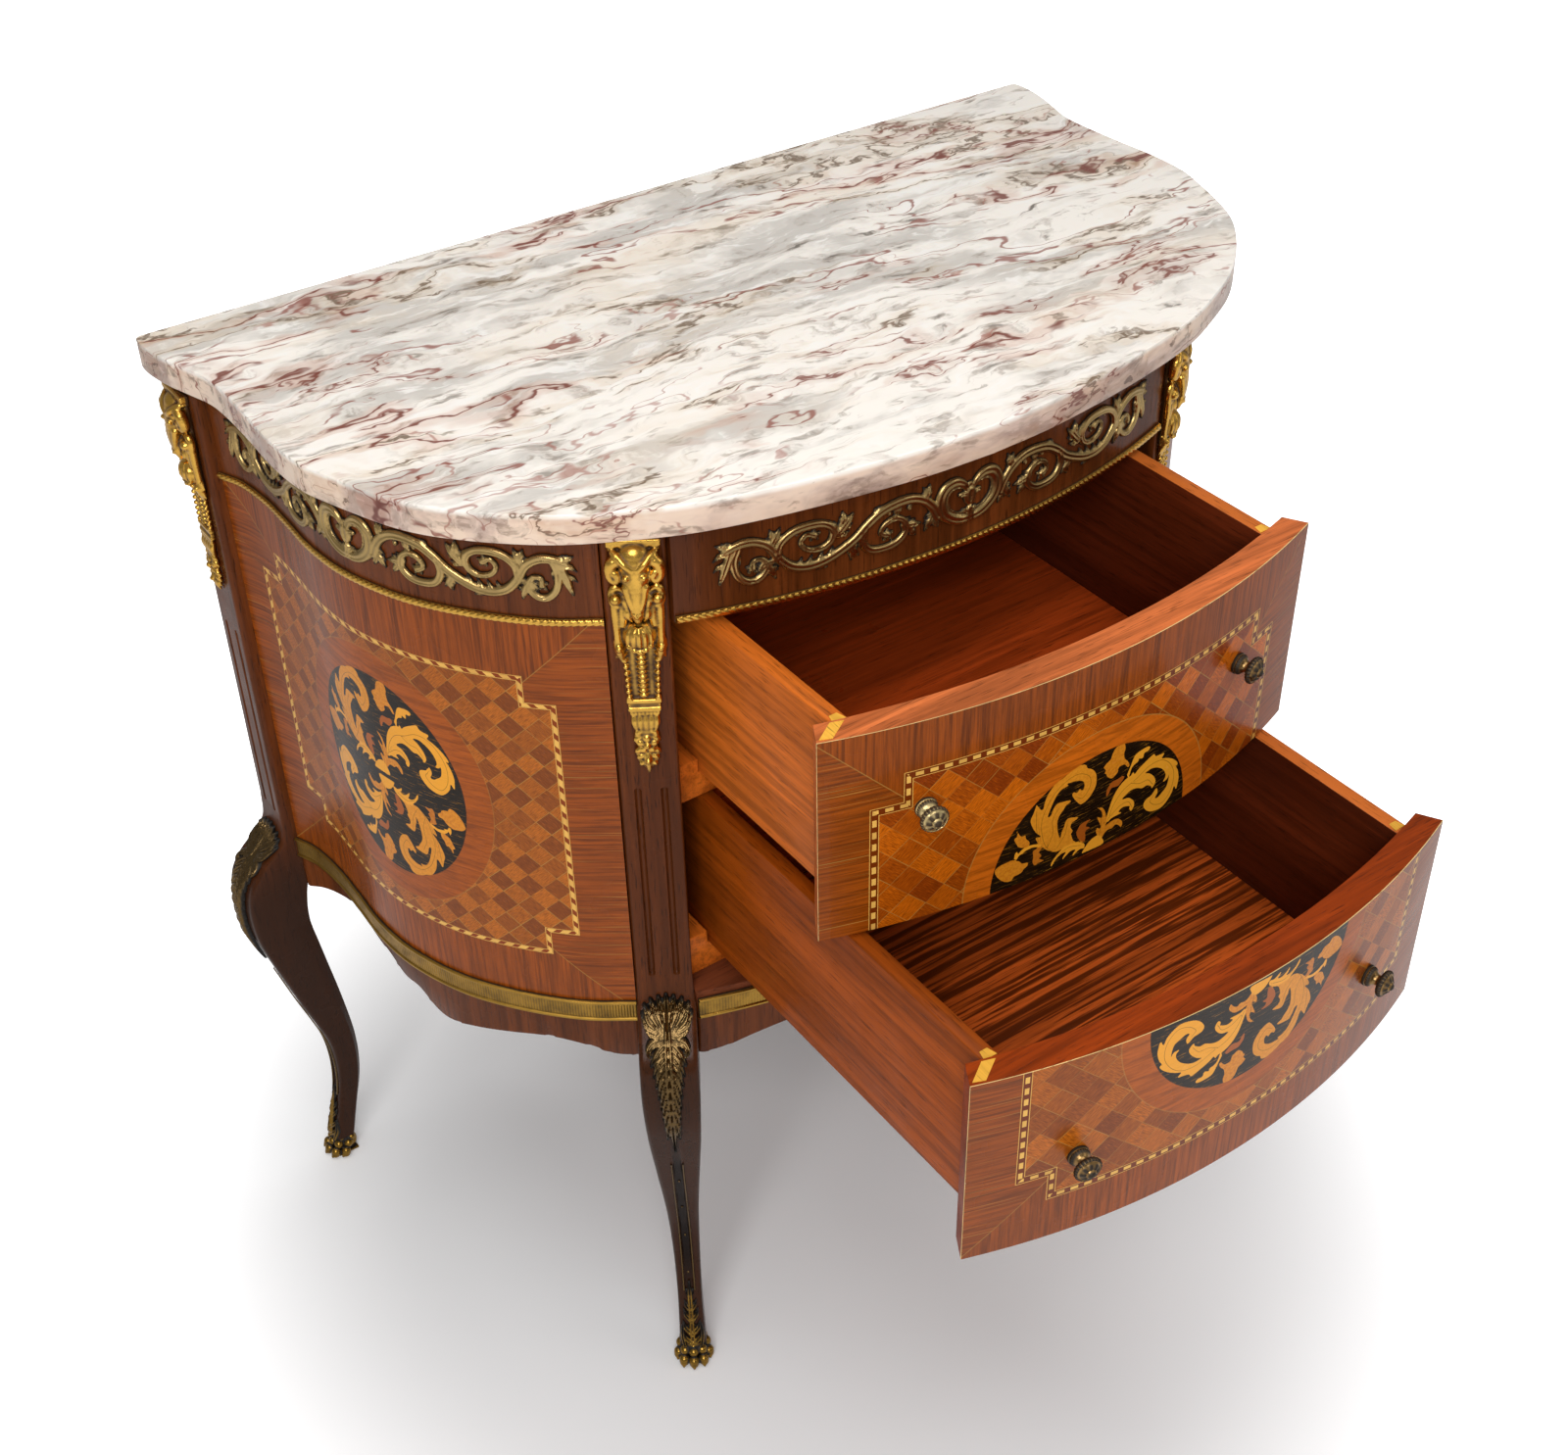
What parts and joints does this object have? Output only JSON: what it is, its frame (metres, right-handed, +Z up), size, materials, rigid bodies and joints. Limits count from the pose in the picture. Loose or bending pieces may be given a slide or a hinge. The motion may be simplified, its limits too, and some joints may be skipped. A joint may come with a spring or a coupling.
{
  "type": "commode chest",
  "caption": "Demilune commode chest with a marble top, bowed drawers on runners, fluted posts that run into cabriole legs, and cast brass mounts.",
  "frame": {"origin": "on the floor, in the middle of the box round the whole part with its drawers open as pictured", "axes": "+X to the right of someone facing the front, +Y from the front to the back, +Z up"},
  "size_m": [0.873, 0.7578, 0.8503],
  "materials": {
    "marble": "polished",
    "mahogany": "polished",
    "veneer": "polished",
    "secondary_wood": "satin",
    "gilt_brass": "aged gilt"
  },
  "bodies": {
    "case": {"marble_top": "marble", "top_board": "secondary_wood", "bottom_board": "secondary_wood", "back_panel": "secondary_wood", "left_frieze": "mahogany", "left_panel": "veneer", "left_apron": "mahogany", "left_bead": "gilt_brass", "left_base_band": "gilt_brass", "left_scroll_mount": "gilt_brass", "right_frieze": "mahogany", "right_panel": "veneer", "right_apron": "mahogany", "right_bead": "gilt_brass", "right_base_band": "gilt_brass", "right_scroll_mount": "gilt_brass", "front_frieze": "mahogany", "front_apron": "mahogany", "front_bead": "gilt_brass", "front_base_band": "gilt_brass", "front_scroll_mount": "gilt_brass", "front_left_leg": "mahogany", "front_left_post_mount": "gilt_brass", "front_left_knee_mount": "gilt_brass", "front_left_sabot": "gilt_brass", "front_left_leg_strips": "gilt_brass", "front_right_leg": "mahogany", "front_right_post_mount": "gilt_brass", "front_right_knee_mount": "gilt_brass", "front_right_sabot": "gilt_brass", "front_right_leg_strips": "gilt_brass", "rear_left_leg": "mahogany", "rear_left_post_mount": "gilt_brass", "rear_left_knee_mount": "gilt_brass", "rear_left_sabot": "gilt_brass", "rear_left_leg_strips": "gilt_brass", "rear_right_leg": "mahogany", "rear_right_post_mount": "gilt_brass", "rear_right_knee_mount": "gilt_brass", "rear_right_sabot": "gilt_brass", "rear_right_leg_strips": "gilt_brass", "upper_left_runner": "secondary_wood", "upper_right_runner": "secondary_wood", "lower_left_runner": "secondary_wood", "lower_right_runner": "secondary_wood"},
    "upper_drawer": {"upper_drawer_front": "veneer", "upper_drawer_left_side": "secondary_wood", "upper_drawer_right_side": "secondary_wood", "upper_drawer_back": "secondary_wood", "upper_drawer_bottom": "secondary_wood", "upper_left_knob": "gilt_brass", "upper_right_knob": "gilt_brass"},
    "lower_drawer": {"lower_drawer_front": "veneer", "lower_drawer_left_side": "secondary_wood", "lower_drawer_right_side": "secondary_wood", "lower_drawer_back": "secondary_wood", "lower_drawer_bottom": "secondary_wood", "lower_left_knob": "gilt_brass", "lower_right_knob": "gilt_brass"}
  },
  "joints": [
    {"name": "upper_drawer_slide", "type": "slide", "parent": "case", "child": "upper_drawer", "axis": [0, -1, 0], "range_m": [-0.155, 0.1755]},
    {"name": "lower_drawer_slide", "type": "slide", "parent": "case", "child": "lower_drawer", "axis": [0, -1, 0], "range_m": [-0.3116, 0.02]}
  ]
}
